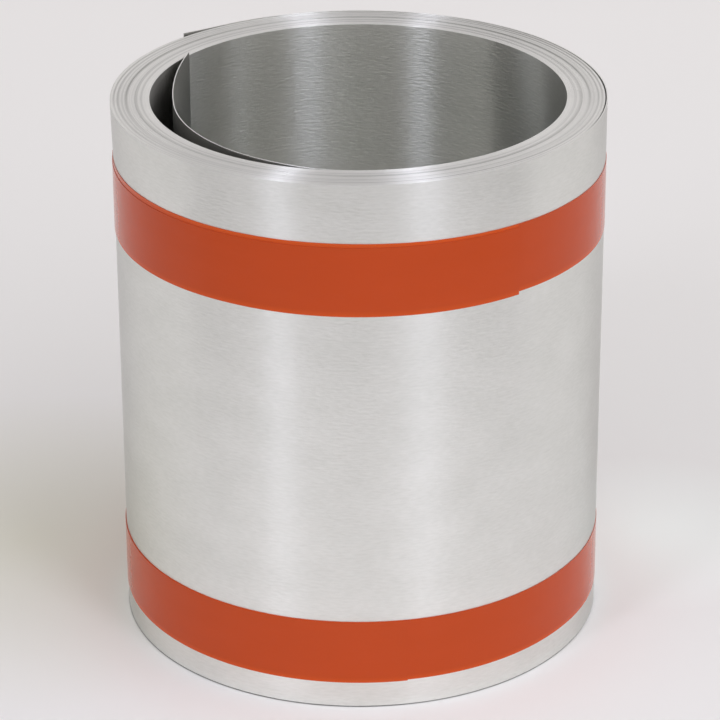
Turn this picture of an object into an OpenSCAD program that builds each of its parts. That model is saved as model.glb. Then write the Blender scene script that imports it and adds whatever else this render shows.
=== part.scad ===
// A roll of aluminum flashing: one long strip wound on itself, standing on its end,
// held closed by two bands of plastic tape. Millimetres, +Z up.
// The origin is on the roll's axis, on the plane that it stands on. Angles run
// counterclockwise from +X, seen from above, the way that the strip winds outward.

/* [Strip] */
// Width of the strip, which is the height of the roll
strip_w = 152.4; // [100:0.1:260]
// Thickness of the sheet
strip_t = 0.254; // [0.2:0.001:0.4]

/* [Winding] */
// Diameter of the open bore
bore_d = 112.1; // [80:0.1:200]
// Turns in each bunch that stands at one level, inner bunch first
bunch_turns = [8, 7, 8, 8, 4, 4];
// How far each bunch stands above the innermost one
bunch_rise = [0, 0.08, 0.2, 0.28, 0.36, 0.42];
// Air between one turn and the next
air_gap = 0.0225; // [0.01:0.0005:0.1]
// Rounding of the slit edges, as a chamfer on each land
edge_break = 0.04; // [0.02:0.005:0.06]
// Depth of the groove between two turns on the end faces
groove_depth = 0.12; // [0.05:0.01:0.4]

/* [Inner tail] */
// Angle at which the free inner end leaves the bore wall
tail_root = 243; // [200:1:300]
// Bends of the tail from its root to its tip: [inside radius as a share of the bore's
// radius, sweep in degrees]
tail_shape = [[0.544, 27], [1.317, 38], [2.18, 11.2]];
// How far the tail's tip has crept up out of the roll
tail_rise = 1.2; // [0.3:0.1:4]
// How far the tail's inside face stands proud of the bore wall where it starts
tail_step = 0.03; // [0.02:0.01:0.1]
// How far the tail's edges are tucked in behind those of the turns where it starts
tail_tuck = 0.03; // [0.02:0.01:0.1]

/* [Outer end] */
// Angle at which the last half turn lifts off the turns below
lap_root = 322; // [290:1:330]
// Angle of the strip's outer cut end
lap_end = 137; // [110:1:150]
// Air behind the last half turn
lap_gap = 0.3; // [0.15:0.05:1]
// Sweep over which the last half turn rises from the roll
lap_ramp = 20; // [12:1:30]
// How far the last half turn stands above the outermost bunch
lap_rise = 0.08; // [0.05:0.01:1]

/* [Tape] */
// Width of the tape
tape_w = 19; // [10:0.5:40]
// Thickness of the tape
tape_t = 0.12; // [0.08:0.01:0.3]
// Bare metal above the upper band
upper_tape_inset = 16.6; // [2:0.1:40]
// Bare metal below the lower band
lower_tape_inset = 7.3; // [2:0.1:40]
// Clearance between the tape and the metal
tape_fit = 0.03; // [0.03:0.01:0.1]
// Sweep over which the tape comes down off the strip's cut end
tape_ramp = 16; // [12:1:24]
// Sweep from the upper band's cut end on to the root of the last half turn
upper_tape_back = 13.5; // [5:0.5:45]
// Sweep from the lower band's cut end on to the same root
lower_tape_back = 41; // [5:0.5:45]
// Sweep of the upper band that laps over its own start
upper_tape_lap = 130; // [20:1:180]
// Sweep of the lower band that laps over its own start
lower_tape_lap = 105; // [20:1:180]
// How far the lapping layer of the upper band has run down
upper_tape_skew = 0.95; // [0.1:0.05:2]
// How far the lapping layer of the lower band has run down
lower_tape_skew = 0.2; // [0.1:0.05:2]

/* [Hidden] */
$fn = 180;
// Sweep of one flat of a bent strip
facet = 2.5;

pitch = strip_t + air_gap;
bore_r = bore_d / 2;
turns = sum_to(bunch_turns, len(bunch_turns));
pack_r = bore_r + turns * pitch - air_gap;
outer_rise = bunch_rise[len(bunch_rise) - 1];

tail_bends = [for (bend = tail_shape) [bend[0] * bore_r, bend[1]]];
// The tail starts at [tail_in_r, 0] in its own frame. Its outside face is clear of the
// bore wall at tail_clear, and tail_way is the way from there to the tip.
tail_in_r = bore_r - tail_step;
tail_bend_x = tail_in_r - tail_bends[0][0];
tail_out_r = tail_bends[0][0] + strip_t;
tail_clear = [tail_bend_x, 0] + on_circle(
    tail_out_r,
    acos((bore_r ^ 2 - tail_bend_x ^ 2 - tail_out_r ^ 2) / (2 * tail_bend_x * tail_out_r))
);
tail_points = bend_points([tail_in_r, 0], tail_bends, 0);
tail_way = tail_points[len(tail_points) - 1] - tail_clear;
tail_lean = atan((tail_rise + tail_tuck) / norm(tail_way));

// The last half turn rises off the pack in an S and then runs round it at one radius
lap_in_r = pack_r - strip_t + tail_step;
lap_out_r = pack_r + lap_gap;
lap_sweep = 360 + lap_end - lap_root;
lap_bends = concat(
    s_bend(lap_in_r, lap_out_r, lap_ramp),
    [[lap_out_r, lap_sweep - lap_ramp]]
);
tape_in_r = pack_r + tape_fit;
tape_over_r = lap_out_r + strip_t + tape_fit;
// The tape starts to rise this far before the strip does, and runs on this far past
// the strip's cut end before it comes down to the roll
tape_lead = 4;
tape_past_end = 2;
tape_over_sweep = tape_lead + lap_sweep + tape_past_end;
// Sweep over which the tape climbs onto its own start
tape_climb = 8;

// 0 up to t = 0, 1 from t = 1 on, and an S of two even bends between them
function ease(t) = t <= 0 ? 0 : t >= 1 ? 1 : t < 0.5 ? 2 * t ^ 2 : 1 - 2 * (1 - t) ^ 2;

// Radius of a band's inside face at an angle: on the roll and up over the last half
// turn, and from one turn past the band's start on that again over its own first layer
function tape_seat(angle) =
    let (past_lead = (angle + tape_lead - lap_root + 720) % 360)
    let (over = ease(past_lead / lap_ramp) - ease((past_lead - tape_over_sweep) / tape_ramp))
    tape_in_r + (tape_over_r - tape_in_r) * over;
function tape_face(start, angle) =
    tape_seat(angle)
    + (tape_t + tape_fit) * ease((angle - start - 360 + tape_climb) / tape_climb);

function sum_to(list, count) = count == 0 ? 0 : list[count - 1] + sum_to(list, count - 1);

// The bunch that a turn is in, and the height of that turn's lower edge
function bunch_of(turn, b = 0) = turn < sum_to(bunch_turns, b + 1) ? b : bunch_of(turn, b + 1);
function rise_of(turn) = bunch_rise[bunch_of(turn)];

// Two equal and opposite bends that carry a strip from one radius about the roll's
// axis to another, starting and ending square to that radius.
function s_bend(r_from, r_to, sweep) =
    let (half = sweep / 2)
    let (shift = (r_to - r_from) / (2 * (1 - cos(half))))
    [[r_from + shift, half], [r_to - shift, half]];

// One end of the pack, going outward: each turn is a flat land with broken edges,
// and a groove parts it from the next.
function land_points(turn, z) =
    let (r = bore_r + turn * pitch)
    let (inside = turn == 0 ? 0 : edge_break)
    let (outside = turn == turns - 1 ? 0 : edge_break)
    [[r + inside, z], [r + strip_t - outside, z]];
function groove_point(turn, z, up) = [
    bore_r + (turn + 1) * pitch - air_gap / 2,
    z - up * groove_depth
];
function end_profile(z0, up) = [
    for (turn = [0 : turns - 1])
        let (z = z0 + rise_of(turn))
        let (next_z = z0 + rise_of(min(turn + 1, turns - 1)))
        let (floor_z = up > 0 ? min(z, next_z) : max(z, next_z))
        for (p = concat(
            land_points(turn, z),
            turn < turns - 1 ? [groove_point(turn, floor_z, up)] : []
        )) p
];
function reversed(list) = [for (i = [len(list) - 1 : -1 : 0]) list[i]];

// The points of one face of a strip that follows a list of bends, [inside radius,
// sweep], each going on square from the end of the one before. The strip starts at
// p, facing the direction turned; out is how far the face lies from the inside one.
function on_circle(r, angle) = [r * cos(angle), r * sin(angle)];
function bend_points(p, bends, out, turned = 0, i = 0) =
    let (r = bends[i][0])
    let (sweep = bends[i][1])
    let (centre = p - on_circle(r, turned))
    let (steps = ceil(sweep / facet))
    let (last = i == len(bends) - 1)
    concat(
        [for (k = [0 : steps - (last ? 0 : 1)]) centre + on_circle(r + out, turned + sweep * k / steps)],
        last ? [] : bend_points(centre + on_circle(r, turned + sweep), bends, out, turned + sweep, i + 1)
    );

// A strip on edge that starts at [start_r, 0] and follows the bends
module strip_run(start_r, bends, thick, high) {
    start = [start_r, 0];
    linear_extrude(high)
        polygon(concat(
            bend_points(start, bends, thick),
            reversed(bend_points(start, bends, 0))
        ));
}

// The wound turns, with their edges showing on both ends
module wound_pack() {
    rotate_extrude()
        polygon(concat(end_profile(0, -1), reversed(end_profile(strip_w, 1))));
}

// The free inner end of the strip. From where it is clear of the wall its edges climb
// evenly to the tip, so it is cut between two planes that lean by the same angle.
module inner_tail() {
    rotate([0, 0, tail_root])
        mirror([0, 1, 0])
            intersection() {
                translate([0, 0, tail_tuck])
                    strip_run(tail_in_r, tail_bends, strip_t, strip_w + 2 * tail_rise);
                translate([tail_clear[0], tail_clear[1], -tail_tuck])
                    rotate([0, 0, atan2(tail_way[1], tail_way[0])])
                        rotate([0, -tail_lean, 0])
                            translate([-bore_r, -bore_r, 0])
                                cube([4 * bore_r, 2 * bore_r, strip_w * cos(tail_lean)]);
            }
}

// The last half turn, which ends in the strip's outer cut end
module outer_lap() {
    rotate([0, 0, lap_root])
        translate([0, 0, outer_rise + lap_rise])
            strip_run(lap_in_r, lap_bends, strip_t, strip_w);
}

// The part of a band that starts at one angle which lies between two others
module tape_layer(start, from, to) {
    steps = ceil((to - from) / facet);
    angles = [for (k = [0 : steps]) from + (to - from) * k / steps];
    linear_extrude(tape_w)
        polygon(concat(
            [for (a = angles) on_circle(tape_face(start, a) + tape_t, a)],
            reversed([for (a = angles) on_circle(tape_face(start, a), a)])
        ));
}

// One band of tape: once round the roll, and on over its own start to its cut end
module tape_band(z, back, lap, skew) {
    cut = lap_root - back;
    start = cut - lap;
    translate([0, 0, outer_rise + z]) {
        tape_layer(start, start, start + 360);
        translate([0, 0, -skew])
            tape_layer(start, start + 360, cut + 360);
    }
}

module flashing_coil() {
    color([0.79, 0.78, 0.76])
        union() {
            wound_pack();
            inner_tail();
            outer_lap();
        }
}

module upper_tape() {
    color([0.73, 0.29, 0.17])
        tape_band(
            strip_w - upper_tape_inset - tape_w,
            upper_tape_back,
            upper_tape_lap,
            upper_tape_skew
        );
}

module lower_tape() {
    color([0.73, 0.29, 0.17])
        tape_band(lower_tape_inset, lower_tape_back, lower_tape_lap, lower_tape_skew);
}

flashing_coil();
upper_tape();
lower_tape();
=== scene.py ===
import math

import bpy
import numpy as np
from mathutils import Matrix, Vector


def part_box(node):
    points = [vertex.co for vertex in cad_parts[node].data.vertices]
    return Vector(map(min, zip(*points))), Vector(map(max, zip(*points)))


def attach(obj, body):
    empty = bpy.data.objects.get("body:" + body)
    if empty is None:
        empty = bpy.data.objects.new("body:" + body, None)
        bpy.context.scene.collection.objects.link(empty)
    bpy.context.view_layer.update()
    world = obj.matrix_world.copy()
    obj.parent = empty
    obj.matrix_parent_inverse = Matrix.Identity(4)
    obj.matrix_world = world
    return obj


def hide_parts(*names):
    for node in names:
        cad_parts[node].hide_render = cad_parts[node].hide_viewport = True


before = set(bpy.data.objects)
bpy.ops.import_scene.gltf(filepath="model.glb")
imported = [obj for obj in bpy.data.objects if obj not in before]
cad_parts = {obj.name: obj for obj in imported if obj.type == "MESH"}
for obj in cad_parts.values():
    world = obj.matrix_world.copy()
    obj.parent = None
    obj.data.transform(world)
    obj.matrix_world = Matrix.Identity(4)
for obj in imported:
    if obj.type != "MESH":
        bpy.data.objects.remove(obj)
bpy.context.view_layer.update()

# The sizes of the roll are in millimetres and degrees. Angles run counterclockwise from
# +X, seen from above, the way that the strip winds outward.
MM = 0.001
# A sweep too small to matter
HAIR = 0.1

# The strip, and the sweep from one of its stations to the next
STRIP_WIDTH = 152.4
STRIP_THICK = 0.254
STATION = 2.5

# The winding: where the free inner tail has its tip and where it leaves the wall, and where
# the strip's outer cut end is. A place along the wound strip is given as turns from the
# tail's tip, so turn 1.0 is once round from it.
TIP_ANGLE = 147.0
TAIL_ROOT = 266.5
END_ANGLE = 137.0
WOUND_TURNS = 40
# The strip's inside radius at one of its turns, and how far each turn takes it outward
BORE_RADIUS = 56.45
BORE_TURN = 0.77
PITCH = 0.2620
# Where one bunch of turns ends and the next begins: the air between them, how far the
# next one stands above the last, and how dark the painted shade on the edges beside that air is,
# from 0 to 1
BUNCHES = [
    {"turn": 8.20, "air": 0.010, "rise": 0.05, "tone_and_painted_shade": 0.40},
    {"turn": 15.00, "air": 0.022, "rise": -0.10, "tone_and_painted_shade": 0.78},
    {"turn": 23.50, "air": 0.025, "rise": 0.15, "tone_and_painted_shade": 0.85},
    {"turn": 31.90, "air": 0.020, "rise": -0.03, "tone_and_painted_shade": 0.75},
    {"turn": 35.90, "air": 0.010, "rise": 0.12, "tone_and_painted_shade": 0.55},
]
# Turns that the strip takes from one bunch to the next
BUNCH_SWEEP = 0.5
# How far the strip's edges wander up and down along it
EDGE_WANDER = 0.02

# The free inner tail, from its root to its tip: [inside radius, sweep] of each bend
TAIL_BENDS = [[39.1, 15.1], [53.1, 64.6], [118.5, 19.6]]
# How far its edges climb on the way to the tip
TAIL_RISE = 1.2

# The last half turn, which has sprung off the roll: where it starts to rise, the sweep
# that it takes, and how far it goes outward and up
LAP_ROOT = 322.0
LAP_RAMP = 20.0
LAP_GAP = 0.32
LAP_RISE = 0.20
# Its cut end has sprung open: over this sweep, this far out at its top and foot, and up
FLARE_SWEEP = 12.0
FLARE_TOP = 0.35
FLARE_FOOT = 0.10
FLARE_RISE = 0.70
# From this angle on, the upper edge of the last half turn leans back in on the roll
LEAN_START = 362.0
LEAN_SWEEP = 22.0
LEAN_IN = 0.22

# Above the upper tape the outer turns stand open a little, most so at one bearing: not at
# all up to RIM_TURN, and by RIM_FLARE once RIM_TURNS more have gone round
RIM_FOOT = 137.0
RIM_FLARE = 0.38
RIM_BEARING = 170.0
RIM_TURN = 4.0
RIM_TURNS = 35.0

# The section of a slit edge, from the inside face to the outside one:
# [distance from the inside face, depth below the crest]
EDGE_SECTION = [
    [0.0, 0.085], [0.008, 0.035], [0.035, 0.006],
    [0.219, 0.006], [0.246, 0.035], [0.254, 0.085],
]
# A ring of the strip's points goes from the inside face over the upper edge, down the
# outside face and under the lower edge. Each face has one point between its edges.
EDGE_POINTS = len(EDGE_SECTION)
TOP_POINTS = range(1, EDGE_POINTS + 1)
FOOT_POINTS = range(EDGE_POINTS + 2, 2 * EDGE_POINTS + 2)
INSIDE_POINTS = [FOOT_POINTS[-1], 0, TOP_POINTS[0]]
OUTSIDE_POINTS = [TOP_POINTS[-1], EDGE_POINTS + 1, FOOT_POINTS[0]]

# How far from the air between two bunches the edges are darkened by painted shade, and how
# soon it clears, in turns. Round the roll that painted shade has this mean share and this much
# more or less.
PAINTED_SHADE_REACH = 1.2
PAINTED_SHADE_FADE = 0.4
PAINTED_SHADE_MEAN = 0.62
PAINTED_SHADE_SWING = 0.38
# Apart from that, each turn's edges are darker in tone at random by up to this much, but for the
# first few
TURN_DULL = 0.42
BRIGHT_TURNS = 2
DULL_SEED = 5
# The turn from which the tail hides the wall, and how soon that comes and goes
HIDDEN_TURN = 1.02
HIDDEN_COMES = 0.03
HIDDEN_GOES = 0.02
# How sheltered the wall is there, which sets its painted shade. The tail's back and the sprung
# end's inside are at 1, with the darkest painted shade.
WALL_SHELTER = 0.5

# The tape, its clearance from the metal and from its own first layer, and its rows of
# faces from foot to top
TAPE_THICK = 0.12
TAPE_FIT = 0.03
LAYER_FIT = 0.01
TAPE_ROWS = 12
TAPE_STATION = 1.25
# It runs on this far past the strip's cut end, and then comes down over this sweep
TAPE_PAST_END = 2.0
TAPE_DROP = 16.0
# Sweep over which it climbs onto its own start
TAPE_CLIMB = 8.0
# Radius at which lengths along it are taken
TAPE_RADIUS = 67.0
# How much painted highlight it has along its foot, from 0 to 1
TAPE_FOOT_PAINTED_HIGHLIGHT = 0.75
# How far the outermost turn's foot stands above the floor. A band's foot is from there,
# and drift is the way that the band runs up or down as it goes round: [angle, height].
OUTER_RISE = 0.50
UPPER_TAPE = {
    "foot": 116.9, "width": 19.2, "start": 178.5, "cut": 308.5,
    "drift": [
        [178.5, 0.4], [217.0, 0.2], [270.0, -0.18], [323.0, -0.78], [345.0, -0.95],
        [560.0, -1.2], [600.0, -1.05], [621.0, -1.22], [668.5, -1.38],
    ],
}
LOWER_TAPE = {
    "foot": 7.40, "width": 18.5, "start": 176.0, "cut": 281.0,
    "drift": [[176.0, 0.0], [400.0, 0.0], [536.0, -0.2], [641.0, -0.2]],
}

# The kinds of face on a ribbon
LONG_FACE, SLIT_EDGE, CUT_END = 0, 1, 2


def smooth(t):
    """0 below t = 0, 1 above t = 1, and an S between them."""
    t = np.clip(t, 0.0, 1.0)
    return t * t * (3.0 - 2.0 * t)


def on_circle(radius, degrees):
    return np.array([math.cos(math.radians(degrees)), math.sin(math.radians(degrees))]) * radius


def turn_of(angle):
    return (angle - TIP_ANGLE) / 360.0


def lap_share(turn):
    """How far the last half turn has risen from the roll, from 0 to 1."""
    start = turn_of(LAP_ROOT) + WOUND_TURNS - 1
    return smooth((turn - start) * 360.0 / LAP_RAMP)


def flare_share(turn):
    """How far the strip's outer end has sprung open, from 0 to 1 at the cut."""
    end = turn_of(END_ANGLE) + WOUND_TURNS
    return np.clip(1.0 - (end - turn) * 360.0 / FLARE_SWEEP, 0.0, 1.0) ** 2


def past_bunch(turn, bunch):
    """How far the strip has gone over to the next bunch, from 0 to 1."""
    return smooth((turn - bunch["turn"]) / BUNCH_SWEEP + 0.5)


def inside_radius(turn):
    """Radius of the strip's inside face where it is wound."""
    radius = BORE_RADIUS + PITCH * (turn - BORE_TURN) + LAP_GAP * lap_share(turn)
    for bunch in BUNCHES:
        radius = radius + bunch["air"] * past_bunch(turn, bunch)
    return radius


def edge_height(turn):
    """How far the strip's lower edge stands above the floor."""
    height = LAP_RISE * lap_share(turn)
    for bunch in BUNCHES:
        height = height + bunch["rise"] * past_bunch(turn, bunch)
    # Uneven waves along the strip that never go below -1.6
    waves = np.sin(turn * 2.9 + 0.4) * np.sin(turn * 1.13 + 2.0) + 0.6 * np.sin(turn * 4.7)
    return height + EDGE_WANDER * (waves + 1.6) + FLARE_RISE * flare_share(turn)


def rim_flare(turn):
    """How far the strip's upper edge leans outward."""
    bearing = np.radians(TIP_ANGLE + 360.0 * turn - RIM_BEARING)
    past_lean = (turn - turn_of(LEAN_START) - WOUND_TURNS + 1) * 360.0
    lean = LEAN_IN * smooth(past_lean / LEAN_SWEEP)
    return RIM_FLARE * smooth((turn - RIM_TURN) / RIM_TURNS) * (0.5 + 0.5 * np.cos(bearing)) - lean


def edge_tone_and_painted_shade(turn):
    """How dark the strip's upper edge is, from 0 to 1: the darker of painted shade, most so beside
    the air between bunches, and each turn's random tone.
    """
    painted_gap_shade = np.zeros_like(turn)
    for bunch in BUNCHES:
        past = turn - bunch["turn"]
        near = smooth((PAINTED_SHADE_REACH + past) / PAINTED_SHADE_FADE) * smooth((PAINTED_SHADE_REACH - past) / PAINTED_SHADE_FADE)
        painted_gap_shade = np.maximum(painted_gap_shade, bunch["tone_and_painted_shade"] * near)
    angle = np.radians(TIP_ANGLE + 360.0 * turn)
    round_roll = PAINTED_SHADE_MEAN + PAINTED_SHADE_SWING * np.sin(2.0 * angle + 2.9) * np.cos(angle + 2.2)
    of_turn = TURN_DULL * np.random.default_rng(DULL_SEED).random(WOUND_TURNS + 2) ** 2
    of_turn[:BRIGHT_TURNS] = 0.0
    # The darker of the painted shade beside the air and the turn's own random tone
    return np.maximum(painted_gap_shade * round_roll, np.interp(turn, np.arange(len(of_turn)), of_turn))


def shelter(turns):
    """How sheltered from the light each point of each ring is, from 0 to 1, which the sheet shows
    as painted shade.
    """
    comes = smooth((turns - HIDDEN_TURN) / HIDDEN_COMES)
    goes = smooth((turn_of(TAIL_ROOT) + 1.0 - turns) / HIDDEN_GOES)
    inside = np.maximum(WALL_SHELTER * comes * goes, flare_share(turns) > 0.0)
    sheltered = np.zeros((len(turns), 2 * EDGE_POINTS + 2))
    sheltered[:, INSIDE_POINTS] = inside[:, None]
    sheltered[:, OUTSIDE_POINTS] = (turns < turn_of(TAIL_ROOT))[:, None]
    return sheltered


def tail_stations():
    """The tail's inside face from its tip to its root: points and outward normals."""
    point = np.array([float(inside_radius(turn_of(TAIL_ROOT))), 0.0])
    facing = 0.0
    points, normals = [], []
    for radius, sweep in TAIL_BENDS:
        centre = point - on_circle(radius, facing)
        count = math.ceil(sweep / STATION)
        for k in range(1, count + 1):
            angle = facing + sweep * k / count
            points.append(centre + on_circle(radius, angle))
            normals.append(on_circle(1.0, angle))
        point, facing = points[-1], facing + sweep
    points, normals = np.array(points)[::-1], np.array(normals)[::-1]
    # Worked out along +X going counterclockwise: turned over and swung round to the root.
    root = math.radians(TAIL_ROOT)
    swing = np.array([[math.cos(root), math.sin(root)], [math.sin(root), -math.cos(root)]])
    return points @ swing.T, normals @ swing.T


def strip_stations():
    """Every station of the strip from the tail's tip to the outer cut end.

    Returns the inside face's points, the outward normals, and each station's height and turn.
    """
    tail_points, tail_normals = tail_stations()
    last = END_ANGLE + 360.0 * WOUND_TURNS
    angles = np.append(np.arange(TAIL_ROOT, last - HAIR, STATION), last)
    turns = turn_of(angles)
    round_it = np.stack([np.cos(np.radians(angles)), np.sin(np.radians(angles))], 1)
    points = np.concatenate([tail_points, round_it * inside_radius(turns)[:, None]])
    normals = np.concatenate([tail_normals, round_it])
    tail_angles = np.degrees(np.unwrap(np.arctan2(tail_points[:, 1], tail_points[:, 0])))
    tail_turns = turn_of(tail_angles % 360.0)
    reach = np.linalg.norm(tail_points - tail_points[-1], axis=1)
    climb = TAIL_RISE * reach / reach[0]
    heights = np.concatenate([edge_height(turn_of(TAIL_ROOT)) + climb, edge_height(turns)])
    return points, normals, heights, np.concatenate([tail_turns, turns])


def on_floor(rings, floor_z):
    """Rings in millimetres above the floor, as metres in the part's frame."""
    rings = rings * MM
    rings[:, :, 2] += floor_z
    return rings


def ribbon(name, rings, along, up, sheltered, shade, edge_rows):
    """A closed mesh from rings of points, one ring to a station.

    rings is (stations, points, 3), in metres. along, of each station, and up, of each point
    of a ring, are places on the flat strip, in millimetres. sheltered and shade are numbers
    from 0 to 1 of each point. The materials use all four. edge_rows are the points after
    which a ring's faces belong to a slit edge, and those faces and the two cut ends get the
    second material.
    """
    stations, count = rings.shape[:2]
    here = np.arange(stations - 1)[:, None] * count + np.arange(count)[None, :]
    there = np.arange(stations - 1)[:, None] * count + (np.arange(count) + 1)[None, :] % count
    quads = np.stack([here, there, there + count, here + count], -1).reshape(-1, 4)
    faces = quads.tolist()
    faces.append(list(range(count))[::-1])
    faces.append([(stations - 1) * count + i for i in range(count)])
    mesh = bpy.data.meshes.new(name)
    mesh.from_pydata(rings.reshape(-1, 3).tolist(), [], faces)

    place = np.stack(np.broadcast_arrays(along[:, None] * MM, up[None, :] * MM, sheltered), -1)
    add_attribute(mesh, "place", "FLOAT_VECTOR", "vector", place)
    add_attribute(mesh, "shade", "FLOAT", "value", shade)
    row_kinds = np.where(np.isin(np.arange(count), edge_rows), SLIT_EDGE, LONG_FACE)
    kinds = np.append(np.tile(row_kinds, stations - 1), [CUT_END, CUT_END]).astype(np.int32)
    mesh.polygons.foreach_set("material_index", np.minimum(kinds, SLIT_EDGE))
    mesh.polygons.foreach_set("use_smooth", np.ones(len(faces), bool))
    mesh.update()
    mark_sharp(mesh, kinds)
    piece = bpy.data.objects.new(name, mesh)
    bpy.context.scene.collection.objects.link(piece)
    return piece


def add_attribute(mesh, name, kind, field, values):
    attribute = mesh.attributes.new(name, kind, "POINT")
    attribute.data.foreach_set(field, values.astype(np.float32).ravel())


def mark_sharp(mesh, kinds):
    """Marks the lines between faces of different kinds as sharp."""
    edge_of_loop = np.empty(len(mesh.loops), np.int32)
    mesh.loops.foreach_get("edge_index", edge_of_loop)
    sides = np.empty(len(mesh.polygons), np.int32)
    mesh.polygons.foreach_get("loop_total", sides)
    kind_of_loop = np.repeat(kinds, sides)
    lowest = np.full(len(mesh.edges), kinds.max(), np.int32)
    highest = np.full(len(mesh.edges), kinds.min(), np.int32)
    np.minimum.at(lowest, edge_of_loop, kind_of_loop)
    np.maximum.at(highest, edge_of_loop, kind_of_loop)
    sharp = mesh.attributes.new("sharp_edge", "BOOLEAN", "EDGE")
    sharp.data.foreach_set("value", lowest != highest)


def make_coil(floor_z):
    """The whole strip, wound as one spiral, with its free tail and its sprung outer end."""
    points, normals, heights, turns = strip_stations()
    out, down = np.array(EDGE_SECTION).T
    shift = np.concatenate([[0.0], out, [STRIP_THICK], out[::-1]])
    level = np.concatenate([[RIM_FOOT], STRIP_WIDTH - down, [RIM_FOOT], down[::-1]])
    at_top = level > RIM_FOOT
    sprung = flare_share(turns)[:, None] * np.where(at_top, FLARE_TOP, FLARE_FOOT)[None, :]
    offset = shift[None, :] + sprung + rim_flare(turns)[:, None] * at_top[None, :]
    rings = np.empty((len(points), len(shift), 3))
    rings[:, :, :2] = points[:, None, :] + normals[:, None, :] * offset[:, :, None]
    rings[:, :, 2] = heights[:, None] + level[None, :]
    along = np.append(0.0, np.cumsum(np.linalg.norm(np.diff(points, axis=0), axis=1)))
    tone_and_painted_shade = np.repeat(edge_tone_and_painted_shade(turns)[:, None], len(shift), 1)
    # The lower slit edges get the full painted shade, which darkens the line where the roll stands
    # on the floor
    tone_and_painted_shade[:, FOOT_POINTS] = 1.0
    edge_rows = [*TOP_POINTS[:-1], *FOOT_POINTS[:-1]]
    rings = on_floor(rings, floor_z)
    return ribbon("flashing_strip", rings, along, level, shelter(turns), tone_and_painted_shade, edge_rows)


def roll_radius(angle):
    """Radius of the roll's outside, from the strip's cut end on to one turn past it."""
    turn = WOUND_TURNS - 1 + turn_of(angle)
    return inside_radius(turn) + STRIP_THICK + FLARE_FOOT * flare_share(turn)


def tape_radius(angles, start):
    """Radius of a band's inside face at each angle from its start on."""
    past_end = (angles - END_ANGLE) % 360.0
    # Past the strip's cut end the tape comes down to the roll in its own time.
    on_end = roll_radius(END_ANGLE + 360.0 - HAIR)
    down = smooth((past_end - TAPE_PAST_END) / TAPE_DROP)
    radius = on_end + (roll_radius(END_ANGLE + past_end) - on_end) * down + TAPE_FIT
    lapping = smooth((angles - (start + 360.0 - TAPE_CLIMB)) / TAPE_CLIMB)
    return radius + lapping * (TAPE_THICK + LAYER_FIT)


def make_tape(name, band, floor_z):
    """One band of tape, once round the roll and on over its own start to its cut end."""
    start, cut = band["start"], band["cut"] + 360.0
    angles = np.arange(start, cut + HAIR, TAPE_STATION)
    rows = np.linspace(0.0, 1.0, TAPE_ROWS + 1)
    share = np.concatenate([rows, rows[::-1]])
    level = share * band["width"]
    shift = np.repeat([0.0, TAPE_THICK], TAPE_ROWS + 1)
    away = np.stack([np.cos(np.radians(angles)), np.sin(np.radians(angles))], 1)
    distance = tape_radius(angles, start)[:, None] + shift[None, :]
    drift = np.interp(angles, *np.array(band["drift"]).T)
    rings = np.empty((len(angles), len(level), 3))
    rings[:, :, :2] = away[:, None, :] * distance[:, :, None]
    rings[:, :, 2] = OUTER_RISE + band["foot"] + drift[:, None] + level[None, :]
    along = np.radians(angles - start) * TAPE_RADIUS
    # Painted highlight: the tape is lighter along its foot, and where its first layer stands clear
    # of the second
    first_layer_top = (angles < cut - 360.0)[:, None] & (share == 1.0)[None, :]
    light = first_layer_top + TAPE_FOOT_PAINTED_HIGHLIGHT * (share == 0.0)[None, :]
    edge_rows = [TAPE_ROWS, 2 * TAPE_ROWS + 1]
    return ribbon(name, on_floor(rings, floor_z), along, level, 0.0, light, edge_rows)


class Nodes:
    """A short way to write a node tree."""

    def __init__(self, tree):
        self.tree = tree

    def add(self, kind, links=(), **settings):
        """Adds a node. links are (input, value or output) pairs."""
        node = self.tree.nodes.new(kind)
        for key, value in settings.items():
            setattr(node, key, value)
        for key, value in links:
            self.feed(node.inputs[key], value)
        return node

    def feed(self, socket, value):
        if isinstance(value, bpy.types.NodeSocket):
            self.tree.links.new(value, socket)
        else:
            socket.default_value = value

    def maths(self, operation, *values, clamp=False):
        links = enumerate(values)
        node = self.add("ShaderNodeMath", links, operation=operation, use_clamp=clamp)
        return node.outputs["Value"]


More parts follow.
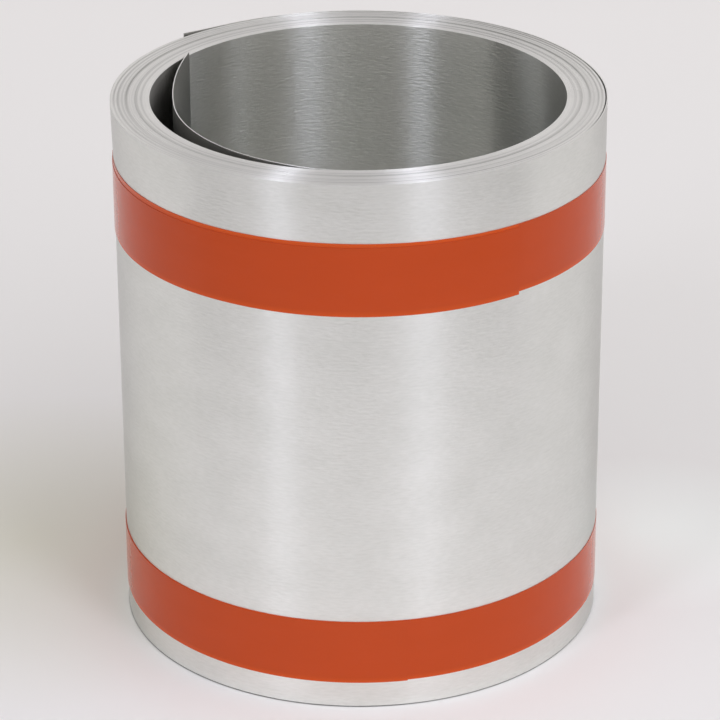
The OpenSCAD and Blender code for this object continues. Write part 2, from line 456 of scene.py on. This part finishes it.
class Material(Nodes):
    """A material, and what its nodes read from the points of a ribbon."""

    def __init__(self, name):
        self.material = bpy.data.materials.new(name)
        self.material.use_nodes = True
        super().__init__(self.material.node_tree)
        self.shader = self.tree.nodes["Principled BSDF"]

    def place(self):
        """Each point's place on the flat strip, in metres, and how sheltered it is as Z."""
        return self.add("ShaderNodeAttribute", attribute_name="place").outputs["Vector"]

    def sheltered(self):
        """How sheltered from the light each point is, from 0 to 1, which the sheet shows as
        painted shade.
        """
        return self.add("ShaderNodeSeparateXYZ", [("Vector", self.place())]).outputs["Z"]

    def shade(self):
        """For a slit edge, how dark each point is by painted shade and random tone; for the tape,
        how light each point is by painted highlight; 0 to 1.
        """
        return self.add("ShaderNodeAttribute", attribute_name="shade").outputs["Fac"]

    def noise(self, along, up, detail=2.0, shift=0.0):
        """Noise whose features are about along by up millimetres in size, whatever the Z."""
        scaled = self.add("ShaderNodeMapping", [
            ("Vector", self.place()),
            ("Scale", (1.0 / (along * MM), 1.0 / (up * MM), 0.0)),
            ("Location", (shift, shift, shift)),
        ])
        noise = self.add("ShaderNodeTexNoise", [
            ("Vector", scaled.outputs["Vector"]), ("Scale", 1.0), ("Detail", detail),
        ])
        return noise.outputs["Fac"]

    def spread(self, value, low, high, start=0.0, end=1.0):
        """value's range from start to end laid over low to high."""
        node = self.add("ShaderNodeMapRange", [
            ("Value", value), ("From Min", start), ("From Max", end),
            ("To Min", low), ("To Max", high),
        ])
        return node.outputs["Result"]

    def blend(self, share, a, b):
        """A colour that goes from a to b."""
        links = [("Factor", share), ("A", a), ("B", b)]
        return self.add("ShaderNodeMix", links, data_type="RGBA").outputs["Result"]

    def bump(self, height, depth, normal=None):
        """A normal from a height of 0 to 1 that stands for depth millimetres."""
        links = [("Height", height), ("Distance", depth * MM), ("Strength", 1.0)]
        if normal is not None:
            links.append(("Normal", normal))
        return self.add("ShaderNodeBump", links).outputs["Normal"]

    def set(self, **values):
        """Sets the shader's sockets, with _ for each space in a name."""
        for key, value in values.items():
            self.feed(self.shader.inputs[key.replace("_", " ")], value)


# A quarter turn, which lays the one-way gloss of the metal along the strip
ALONG_STRIP = 0.25

SHEET_DARK = (0.725, 0.735, 0.695, 1.0)
SHEET_LIGHT = (1.0, 1.0, 0.975, 1.0)
SHEET_ROUGH = (0.278, 0.290)
# How much of its reflection the sheet keeps at a glancing angle
SHEET_GLANCE = (0.74, 0.74, 0.74, 1.0)
# Painted shade where little light gets in: on the tail's back and inside the sprung end, and on
# the wall behind the tail, which is also this much rougher
PAINTED_SHADE_ON_BACK = (0.44, 0.44, 0.42, 1.0)
PAINTED_SHADE_ON_WALL = (0.52, 0.52, 0.51, 1.0)
SHELTERED_WALL_ROUGHER = 0.275


def sheet_material():
    """Mill-finish aluminum: smooth along the strip, rough across it, with a fine grain."""
    m = Material("mill_aluminum")
    clouds = m.noise(16.0, 11.0, 4.0)
    grain = m.noise(2.4, 0.58, 2.0, 7.0)
    tone = m.maths("ADD", m.spread(clouds, 0.0, 0.5), m.spread(grain, 0.0, 0.5))
    colour = m.blend(tone, SHEET_DARK, SHEET_LIGHT)
    # Painted shade on the tail's back and inside the sprung end, and a lighter painted shade on
    # the wall behind the tail
    back = m.spread(m.sheltered(), 0.0, 1.0, WALL_SHELTER, 1.0)
    colour = m.blend(back, colour, PAINTED_SHADE_ON_BACK)
    # Goes up to WALL_SHELTER and, past it, down again
    wall = m.maths("PINGPONG", m.sheltered(), WALL_SHELTER)
    colour = m.blend(m.spread(wall, 0.0, 1.0, 0.0, WALL_SHELTER), colour, PAINTED_SHADE_ON_WALL)
    rough = m.spread(grain, *SHEET_ROUGH, 0.35, 0.65)
    rougher = m.spread(wall, 0.0, SHELTERED_WALL_ROUGHER, 0.0, WALL_SHELTER)
    m.set(
        Base_Color=colour, Metallic=1.0, Normal=m.bump(grain, 0.088),
        Roughness=m.maths("ADD", rough, rougher),
        Anisotropic=0.95, Anisotropic_Rotation=ALONG_STRIP, Specular_Tint=SHEET_GLANCE,
    )
    return m.material


EDGE_DARK = (0.89, 0.88, 0.855, 1.0)
EDGE_LIGHT = (1.0, 1.0, 0.985, 1.0)
# The colour toward which painted shade and random tone darken the edges
EDGE_TONE_AND_PAINTED_SHADE = (0.45, 0.445, 0.435, 1.0)
EDGE_ROUGH = (0.38, 0.44)


def edge_material():
    """The slit edges and cut ends: bright, darkened by painted shade and random tone, and rougher
    than the sheet.
    """
    m = Material("slit_edge")
    nicks = m.noise(4.0, 0.3, 3.0, 5.0)
    bright = m.blend(nicks, EDGE_DARK, EDGE_LIGHT)
    m.set(
        Base_Color=m.blend(m.shade(), bright, EDGE_TONE_AND_PAINTED_SHADE), Metallic=0.78,
        Normal=m.bump(nicks, 0.002), Roughness=m.spread(nicks, *EDGE_ROUGH, 0.3, 0.7),
        Anisotropic=1.0, Anisotropic_Rotation=ALONG_STRIP,
    )
    return m.material


TAPE_DARK = (0.484, 0.057, 0.006, 1.0)
TAPE_FACE = (0.530, 0.064, 0.010, 1.0)
TAPE_PAINTED_HIGHLIGHT = (0.64, 0.088, 0.010, 1.0)
TAPE_ROUGH = (0.13, 0.19)


def tape_material():
    """Orange plastic tape with a satin face, streaks along it and shallow ripples."""
    m = Material("orange_tape")
    clouds = m.noise(30.0, 9.0, 3.0)
    streaks = m.noise(40.0, 0.5, 2.0, 2.0)
    ripples = m.noise(6.0, 2.6, 2.0, 4.0)
    colour = m.blend(clouds, TAPE_DARK, TAPE_FACE)
    # The tape's painted highlight along its foot and on its first layer's clear top
    m.set(
        Base_Color=m.blend(m.shade(), colour, TAPE_PAINTED_HIGHLIGHT),
        Normal=m.bump(streaks, 0.003, m.bump(ripples, 0.08)),
        Roughness=m.spread(streaks, *TAPE_ROUGH, 0.3, 0.7),
        IOR=1.5, Specular_IOR_Level=0.24,
    )
    return m.material


TAPE_EDGE_DARK = (0.48, 0.058, 0.010, 1.0)
TAPE_EDGE_LIGHT = (0.55, 0.068, 0.014, 1.0)


def tape_edge_material():
    """The slit and cut edges of the tape."""
    m = Material("orange_tape_edge")
    m.set(Base_Color=m.blend(m.noise(3.0, 1.0), TAPE_EDGE_DARK, TAPE_EDGE_LIGHT), Roughness=0.45)
    return m.material


# The floor, in metres. It goes from its front colour at the roll's axis to its back one at
# FLOOR_BACK_Y behind that, lighter toward the back by painted light, with clouds in it.
FLOOR_REACH = 6.0
FLOOR_FRONT = (0.842, 0.832, 0.827, 1.0)
FLOOR_BACK = (0.964, 0.949, 0.946, 1.0)
FLOOR_BACK_Y = 0.5
FLOOR_CLOUDS = 0.08
# It is dim far in front, by painted shade. That comes between these two distances from the axis,
# and goes between these two places along Y.
FLOOR_PAINTED_SHADE = (0.43, 0.418, 0.418, 1.0)
DIM_COMES = [0.2, 0.6]
DIM_GOES = [-0.16, -0.08]
# A patch of painted light on it to the right of the roll, and a patch of painted shadow, darker
# and warmer, to its left:
# [middle, reach, colour]
FLOOR_PAINTED_LIGHT_AND_SHADOW = [
    [(0.085, 0.035, 0.0), 0.05, (0.951, 0.990, 0.976, 1.0)],
    [(-0.100, 0.030, 0.0), 0.10, (0.790, 0.781, 0.680, 1.0)],
]
# A painted contact shadow darkens it in a ring under the turns, which fades out at the bore and at
# the outside
PAINTED_CONTACT_SHADOW = (0.22, 0.215, 0.21, 1.0)
RING_INNER_FADE = [0.0615, 0.0635]
RING_OUTER_FADE = [0.0664, 0.0672]


def floor_material():
    """The pale tabletop."""
    m = Material("pale_floor")
    spot = m.add("ShaderNodeTexCoord").outputs["Object"]
    along_y = m.add("ShaderNodeSeparateXYZ", [("Vector", spot)]).outputs["Y"]
    away = m.add("ShaderNodeVectorMath", [(0, spot)], operation="LENGTH").outputs["Value"]
    clouds = m.add("ShaderNodeTexNoise", [("Scale", 2.0), ("Detail", 2.0)]).outputs["Fac"]
    to_back = m.maths(
        "ADD",
        m.spread(along_y, 0.0, 1.0, 0.0, FLOOR_BACK_Y),
        m.spread(clouds, -FLOOR_CLOUDS, FLOOR_CLOUDS),
    )
    colour = m.blend(to_back, FLOOR_FRONT, FLOOR_BACK)
    far = m.spread(away, 0.0, 1.0, *DIM_COMES)
    in_front = m.spread(along_y, 1.0, 0.0, *DIM_GOES)
    colour = m.blend(m.maths("MULTIPLY", far, in_front), colour, FLOOR_PAINTED_SHADE)
    # Painted light to the right of the roll and painted shadow to its left
    for middle, reach, painted_light_and_shadow_colour in FLOOR_PAINTED_LIGHT_AND_SHADOW:
        ends = [(0, spot), (1, middle)]
        apart = m.add("ShaderNodeVectorMath", ends, operation="DISTANCE").outputs["Value"]
        colour = m.blend(m.spread(apart, 1.0, 0.0, 0.0, reach), colour, painted_light_and_shadow_colour)
    # Painted contact shadow in a ring under the turns
    past_bore = m.spread(away, 0.0, 1.0, *RING_INNER_FADE)
    inside_roll = m.spread(away, 1.0, 0.0, *RING_OUTER_FADE)
    contact_shadow_share = m.maths("MULTIPLY", inside_roll, past_bore)
    m.set(
        Base_Color=m.blend(contact_shadow_share, colour, PAINTED_CONTACT_SHADOW),
        Roughness=0.6, Specular_IOR_Level=0.2,
    )
    return m.material


def add_floor(floor_z):
    mesh = bpy.data.meshes.new("floor")
    sides = ((-1, -1), (1, -1), (1, 1), (-1, 1))
    corners = [(x * FLOOR_REACH, y * FLOOR_REACH, floor_z) for x, y in sides]
    mesh.from_pydata(corners, [], [(0, 1, 2, 3)])
    floor = bpy.data.objects.new("floor", mesh)
    bpy.context.scene.collection.objects.link(floor)
    mesh.materials.append(floor_material())


# The room's light: its tint, how bright it is overhead, and the slope by which it gets
# there with the direction's Z, from the Z where it starts
ROOM_TINT = (1.0, 0.970, 0.958, 1.0)
OVERHEAD = 0.29
OVERHEAD_SLOPE = 1.6
OVERHEAD_START = 0.2
# A glow on each side of it: [axis, side, how high it is centred as the direction's Z, level]
GLOWS = [
    ["Y", 1.0, 0.3, 0.95], ["Y", 1.0, 0.6, 0.21], ["Y", -1.0, 0.0, 0.80],
    ["Y", -1.0, 0.6, 1.60], ["X", -1.0, 0.6, 0.85], ["X", 1.0, 0.6, 1.16],
    ["X", -1.0, 0.0, 0.70], ["X", 1.0, 0.0, 0.62],
]
GLOW_REACH = 0.3


def glow_level(room, axes, axis, side, centre, level):
    """How bright the room is by one glow, which fades out round its side and up and down."""
    off_centre = room.maths("ABSOLUTE", room.maths("SUBTRACT", axes["Z"], centre))
    in_height = room.maths("MULTIPLY_ADD", off_centre, -1.0 / GLOW_REACH, 1.0, clamp=True)
    in_bearing = room.maths("MULTIPLY", axes[axis], side, clamp=True)
    return room.maths("MULTIPLY", room.maths("MULTIPLY", in_height, in_bearing), level)


def add_world():
    """A pale room: dim overhead and at the horizon, with a soft glow on each side."""
    world = bpy.data.worlds.new("room")
    bpy.context.scene.world = world
    world.use_nodes = True
    room = Nodes(world.node_tree)
    direction = room.add("ShaderNodeTexCoord").outputs["Generated"]
    axes = room.add("ShaderNodeSeparateXYZ", [("Vector", direction)]).outputs
    start = -OVERHEAD_START * OVERHEAD_SLOPE
    overhead = room.maths("MULTIPLY_ADD", axes["Z"], OVERHEAD_SLOPE, start, clamp=True)
    level = room.maths("MULTIPLY", overhead, OVERHEAD)
    for glow in GLOWS:
        level = room.maths("ADD", level, glow_level(room, axes, *glow))
    background = room.tree.nodes["Background"]
    background.inputs["Color"].default_value = ROOM_TINT
    room.feed(background.inputs["Strength"], level)


# The lamps, in metres: [name, bearing, distance, height, width, height of the panel,
# radiance, and whether it shows in reflections]. Those that do are cooler than the room.
LAMPS = [
    ["left_panel", 232.3, 0.9, 0.700, 0.165, 0.42, 7.60, True],
    ["right_panel", 301.2, 0.65, 0.515, 0.185, 0.30, 4.10, True],
    ["right_high", 301.2, 0.65, 0.865, 0.185, 0.30, 2.60, True],
    ["right_top", 301.2, 0.5, 1.19, 0.185, 0.45, 0.55, True],
    ["key_wide", 315.0, 1.8, 2.40, 3.4, 3.4, 0.27, False],
    ["key_front", 315.0, 1.8, 3.20, 1.8, 1.8, 0.44, False],
    ["key_side", 345.0, 1.8, 3.20, 1.8, 1.8, 1.18, False],
]
PANEL_TINT = (0.95, 0.98, 1.13)
WHITE = (1.0, 1.0, 1.0)
# The middle of the roll, which they face
AIM = Vector((0.0, 0.0, 0.08))


def add_lamp(name, bearing, distance, height, width, tall, radiance, glossy):
    """An area lamp at a bearing from the roll, turned to face it."""
    data = bpy.data.lights.new(name, "AREA")
    data.shape = "RECTANGLE"
    data.size, data.size_y = width, tall
    data.energy = radiance * math.pi * width * tall
    data.color = PANEL_TINT if glossy else WHITE
    lamp = bpy.data.objects.new(name, data)
    bpy.context.scene.collection.objects.link(lamp)
    lamp.location = Vector((*on_circle(distance, bearing), height))
    lamp.rotation_euler = (AIM - lamp.location).to_track_quat("-Z", "Y").to_euler()
    lamp.visible_camera = False
    lamp.visible_glossy = glossy


# The camera's place in metres, the turns that aim it, and its lens in millimetres
CAMERA_AT = (0.00282, -0.8552, 0.47065)
CAMERA_TURNS = [("Z", 0.183), ("X", 65.042), ("Z", -0.261)]
LENS = 168.109
SENSOR = 36.0
SHIFT = (0.00002, 0.00082)


def add_camera():
    """Stands in front, looking down on the roll through a long lens."""
    data = bpy.data.cameras.new("camera")
    data.lens, data.sensor_width = LENS, SENSOR
    data.shift_x, data.shift_y = SHIFT
    camera = bpy.data.objects.new("camera", data)
    bpy.context.scene.collection.objects.link(camera)
    camera.location = CAMERA_AT
    turned = Matrix.Identity(4)
    for axis, degrees in CAMERA_TURNS:
        turned = turned @ Matrix.Rotation(math.radians(degrees), 4, axis)
    camera.rotation_euler = turned.to_euler()
    bpy.context.scene.camera = camera


def main():
    floor_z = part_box("flashing_coil")[0].z
    add_camera()
    add_floor(floor_z)
    add_world()
    for lamp in LAMPS:
        add_lamp(*lamp)
    bpy.context.scene.view_settings.view_transform = "Standard"

    coil = make_coil(floor_z)
    coil.data.materials.append(sheet_material())
    coil.data.materials.append(edge_material())
    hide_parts("flashing_coil")
    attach(coil, "root")
    tape, tape_edge = tape_material(), tape_edge_material()
    for name, band, node in (
        ("upper_tape_band", UPPER_TAPE, "upper_tape"),
        ("lower_tape_band", LOWER_TAPE, "lower_tape"),
    ):
        piece = make_tape(name, band, floor_z)
        piece.data.materials.append(tape)
        piece.data.materials.append(tape_edge)
        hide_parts(node)
        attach(piece, "root")


main()
